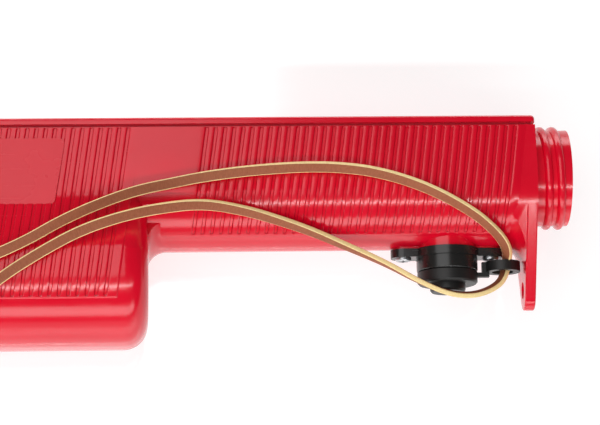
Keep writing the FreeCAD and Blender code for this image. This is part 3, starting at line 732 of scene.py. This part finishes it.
def make_skin(name, columns, place, outline, height, groove_shade_mask, side=1):
    """Skin over the shell: each point is the outline's point, leant along by its drop from the rim, and
    lifted along the outline's normal by its height. Its underside lies inside the shell's wall. The groove
    attribute is 0 on a band and 1 on the floor of a groove, and the red material paints shade by it."""
    up, out, normal_up, normal_out = outline(place)
    along = columns[None, :] - (RIM_UP - up) * RIB_LEAN

    def layer(lift):
        return at(along, up + normal_up * lift, side * (out + normal_out * lift))

    top, under = layer(height), layer(np.full_like(height, -SKIN_DEEP))
    points, faces = plate(top, under)
    if side < 0:
        faces = [face[::-1] for face in faces]
    skin = new_piece(name, points, faces, "housing", RED)
    # Painted shade: the deeper a point lies in a groove, the darker the red material paints it there.
    depth = np.clip(1 - height / (RIB_HEIGHT - RIB_CROWN), 0, 1) * groove_shade_mask
    groove = skin.data.attributes.new("groove", "FLOAT", "POINT")
    groove.data.foreach_set("value", np.concatenate([depth, depth]).ravel())


def groove_distance(columns, first, count):
    """Distance of each column from the nearest of the grooves."""
    nearest = np.clip(np.round((columns - first) / RIB_PITCH), 0, count - 1)
    return np.abs(columns - first - nearest * RIB_PITCH)


# %% [markdown]
# ### The neck end of the handle
# Both sides of the handle carry grooves from the end wall as far as a plain panel beside the chamber. The
# panel is part of the same skin, because it stands as high as the bands. Near the chamber it stops higher
# up, where the fillet between handle and chamber takes the room. The two skins are one function, told which
# side to face.

# %% Ribs at the neck end of the handle
NECK_GROOVES, NECK_FIRST = 35, -117.15
GROOVE_TOP, NECK_GROOVE_LOW = 0.9, 40.2
TOP_MARGIN, NECK_MARGIN = 0.55, 3.2            # how far a skin runs past its grooves, above and below
SEAM = -140.6                                  # where this skin meets the chamber's
PANEL_RAISE, RAISE_FROM, RAISE_OVER = 17.7, -133.0, 7.6
NECK_FADE = 2.4                                # over which the skin's right and lower edges come down
PANEL_COLUMNS = 22


def neck_end_skin(name, side):
    """Bands from the end wall back to the plain panel, the panel itself, and the grooves between. The panel
    stops higher up where the chamber's fillet runs into it."""
    panel = np.linspace(SEAM, NECK_FIRST - FINE_REACH, PANEL_COLUMNS)
    before = NECK_FIRST - np.append(GROOVE_STEPS[1:], 0.95)[::-1]
    tail = NECK_FIRST + (NECK_GROOVES - 1) * RIB_PITCH + np.append(GROOVE_STEPS, [1.2, 2.0, 3.0, 4.2])
    columns = np.concatenate([panel, before, rib_columns(NECK_FIRST, NECK_GROOVES - 1), tail])
    rows = rib_rows(GROOVE_TOP, NECK_GROOVE_LOW, NECK_MARGIN, TOP_MARGIN)
    raised = PANEL_RAISE * ease((RAISE_FROM - columns) / RAISE_OVER)
    place = rows[:, None] - raised * (rows[:, None] - rows[0]) / (rows[-1] - rows[0])
    past = np.maximum(np.maximum(GROOVE_TOP - rows, rows - NECK_GROOVE_LOW), 0)[:, None]
    band = rib_height(groove_distance(columns, NECK_FIRST, NECK_GROOVES)[None, :], past)
    fade = ease((columns[-1] - columns) / NECK_FADE)[None, :] * ease((rows[-1] - rows) / NECK_FADE)[:, None]
    groove_shade_mask = (past <= GROOVE_SHOULDER) * (fade > WHOLE)
    make_skin(name, columns, place, barrel_outline, band * fade - SUNK, groove_shade_mask, side)


neck_end_skin("neck_ribs_front", 1)
neck_end_skin("neck_ribs_back", -1)

# %% [markdown]
# ### The reel chamber
# The chamber is wider than the handle, so the grooves on its front side run over a sloping shoulder before
# they reach the flat. Their outline is straight runs with rounded corners. The skin stays down under the
# label plate, which lies where grooves would be. Past the last groove a plain strip ends in an edge of its
# own, wherever the neck end's skin doesn't carry on from it.

# %% Ribs over the reel chamber
CHAMBER_GROOVES, CHAMBER_LAST = 36, -145.0
CHAMBER_GROOVE_LOW, CHAMBER_MARGIN = 63.5, 1.6
PLATE_COLUMNS, PLATE_ROWS = (-203.6, -167.1), (8.0, 29.1)      # under the label plate, which is thin there
PLATE_EDGE_ROWS = 28.6, 28.85, 29.1, 29.35
SHOULDER = [(1.6, 21.43), (-6.5, 22.7), (-25.0, 30.0)]         # its corners, up and out
SHOULDER_RADII, SIDE_OUT = [20.0, 1.2, 5.0], 30.0
ROUND_R, ROUND_START = 26.8, -29.4             # round bottom of the chamber
ROUND_REACH = math.radians(50)
OWN_EDGE_FROM, OWN_EDGE = 24.0, 0.6            # rows past the first have a right edge, eased over the second
CHAMBER_FADE = 0.7


def chamber_outline(place):
    """The handle's side, then the chamber's sloping shoulder, its flat side and the start of its round
    bottom."""
    rim_out = TOUCH_OUT - (RIM_UP - TOUCH_UP) * math.tan(SIDE_TAPER)
    cut = ROUND_R * math.tan(ROUND_REACH / 2)
    corner = (ROUND_START - cut, SIDE_OUT)
    last = (corner[0] - cut * math.cos(ROUND_REACH), corner[1] - cut * math.sin(ROUND_REACH))
    return along_outline([(RIM_UP, rim_out), *SHOULDER, corner, last], [*SHOULDER_RADII, ROUND_R], place)


def chamber_skin():
    """Bands over the shoulder and the flat side, and the plain strip at their right, both a step above the
    rest."""
    first = CHAMBER_LAST - (CHAMBER_GROOVES - 1) * RIB_PITCH
    tail = np.append(GROOVE_STEPS, [1.2, 2.2]) + CHAMBER_LAST
    edge = SEAM - np.array([0.9, 0.6, 0.45, 0.3, 0.15, 0.0])
    columns = np.concatenate([rib_columns(first, CHAMBER_GROOVES - 1), tail, edge])
    rows = rib_rows(GROOVE_TOP, CHAMBER_GROOVE_LOW, CHAMBER_MARGIN, TOP_MARGIN)
    rows = np.sort(np.append(rows, PLATE_EDGE_ROWS))
    past = np.maximum(np.maximum(GROOVE_TOP - rows, rows - CHAMBER_GROOVE_LOW), 0)[:, None]
    band = rib_height(groove_distance(columns, first, CHAMBER_GROOVES)[None, :], past)
    right_edge = np.where(rows[:, None] > OWN_EDGE_FROM, ease((SEAM - columns[None, :]) / OWN_EDGE), 1.0)
    under_plate = between(columns, PLATE_COLUMNS)[None, :] & between(rows, PLATE_ROWS)[:, None]
    fade = right_edge * ease((rows[-1] - rows) / CHAMBER_FADE)[:, None] * ~under_plate
    groove_shade_mask = (past <= GROOVE_SHOULDER) * (fade > WHOLE)
    place = np.broadcast_to(rows[:, None], band.shape)
    make_skin("chamber_ribs", columns, place, chamber_outline, band * fade - SUNK, groove_shade_mask)


chamber_skin()

# %% [markdown]
# ## The engineering parts
# Each part of the frame keeps its place and only takes its finish. The frame's triangles share no points,
# so every facet would show on a round piece. A welded copy stands in for each part instead: points that lie
# together become one, normals run smooth over its curves, and they break at its real edges. The leather
# loop has its copy already, which is the strap.

# %% Finishes for the frame's parts
FINISH = {
    "red_plastic": RED, "label_red": LABEL, "red_rubber": SEAL, "black_plastic": BLACK,
    "natural_nylon": NYLON, "black_rubber": RUBBER, "leather": LEATHER, "felt": FELT, "chalk_line": STRING,
    "steel": STEEL, "brass": BRASS,
}
PART_EDGE_ANGLE = 32
WELD = 2e-6                   # metres between points that count as one


def slots_of_nodes(record):
    """Which material slot each node takes its finish from."""
    return {part["node"]: part["material_slot"] for part in record["subparts"]}


def welded_copy(node, slot):
    """The same surface with shared points: equal corners become one point, and sharp edges stay sharp."""
    source = frame["nodes"][node].data
    corners = np.zeros(len(source.vertices) * 3, np.float32)
    source.vertices.foreach_get("co", corners)
    source.calc_loop_triangles()
    triangles = np.zeros(len(source.loop_triangles) * 3, np.int32)
    source.loop_triangles.foreach_get("vertices", triangles)
    grid = np.round(corners.reshape(-1, 3) / WELD).astype(np.int64)
    _, first, where = np.unique(grid, axis=0, return_index=True, return_inverse=True)
    faces = where.ravel()[triangles].reshape(-1, 3)
    real = (faces[:, 0] != faces[:, 1]) & (faces[:, 1] != faces[:, 2]) & (faces[:, 2] != faces[:, 0])
    piece = new_piece(node + "_finished", corners.reshape(-1, 3)[first], faces[real],
                      frame["nodes"][node]["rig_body"], FINISH[slot], PART_EDGE_ANGLE)
    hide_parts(node)


def finish_nodes():
    """A welded copy in its finish for every node but the loop."""
    for node, slot in slots_of_nodes(frame["record"]).items():
        if node != "leather_loop":
            welded_copy(node, slot)


finish_nodes()
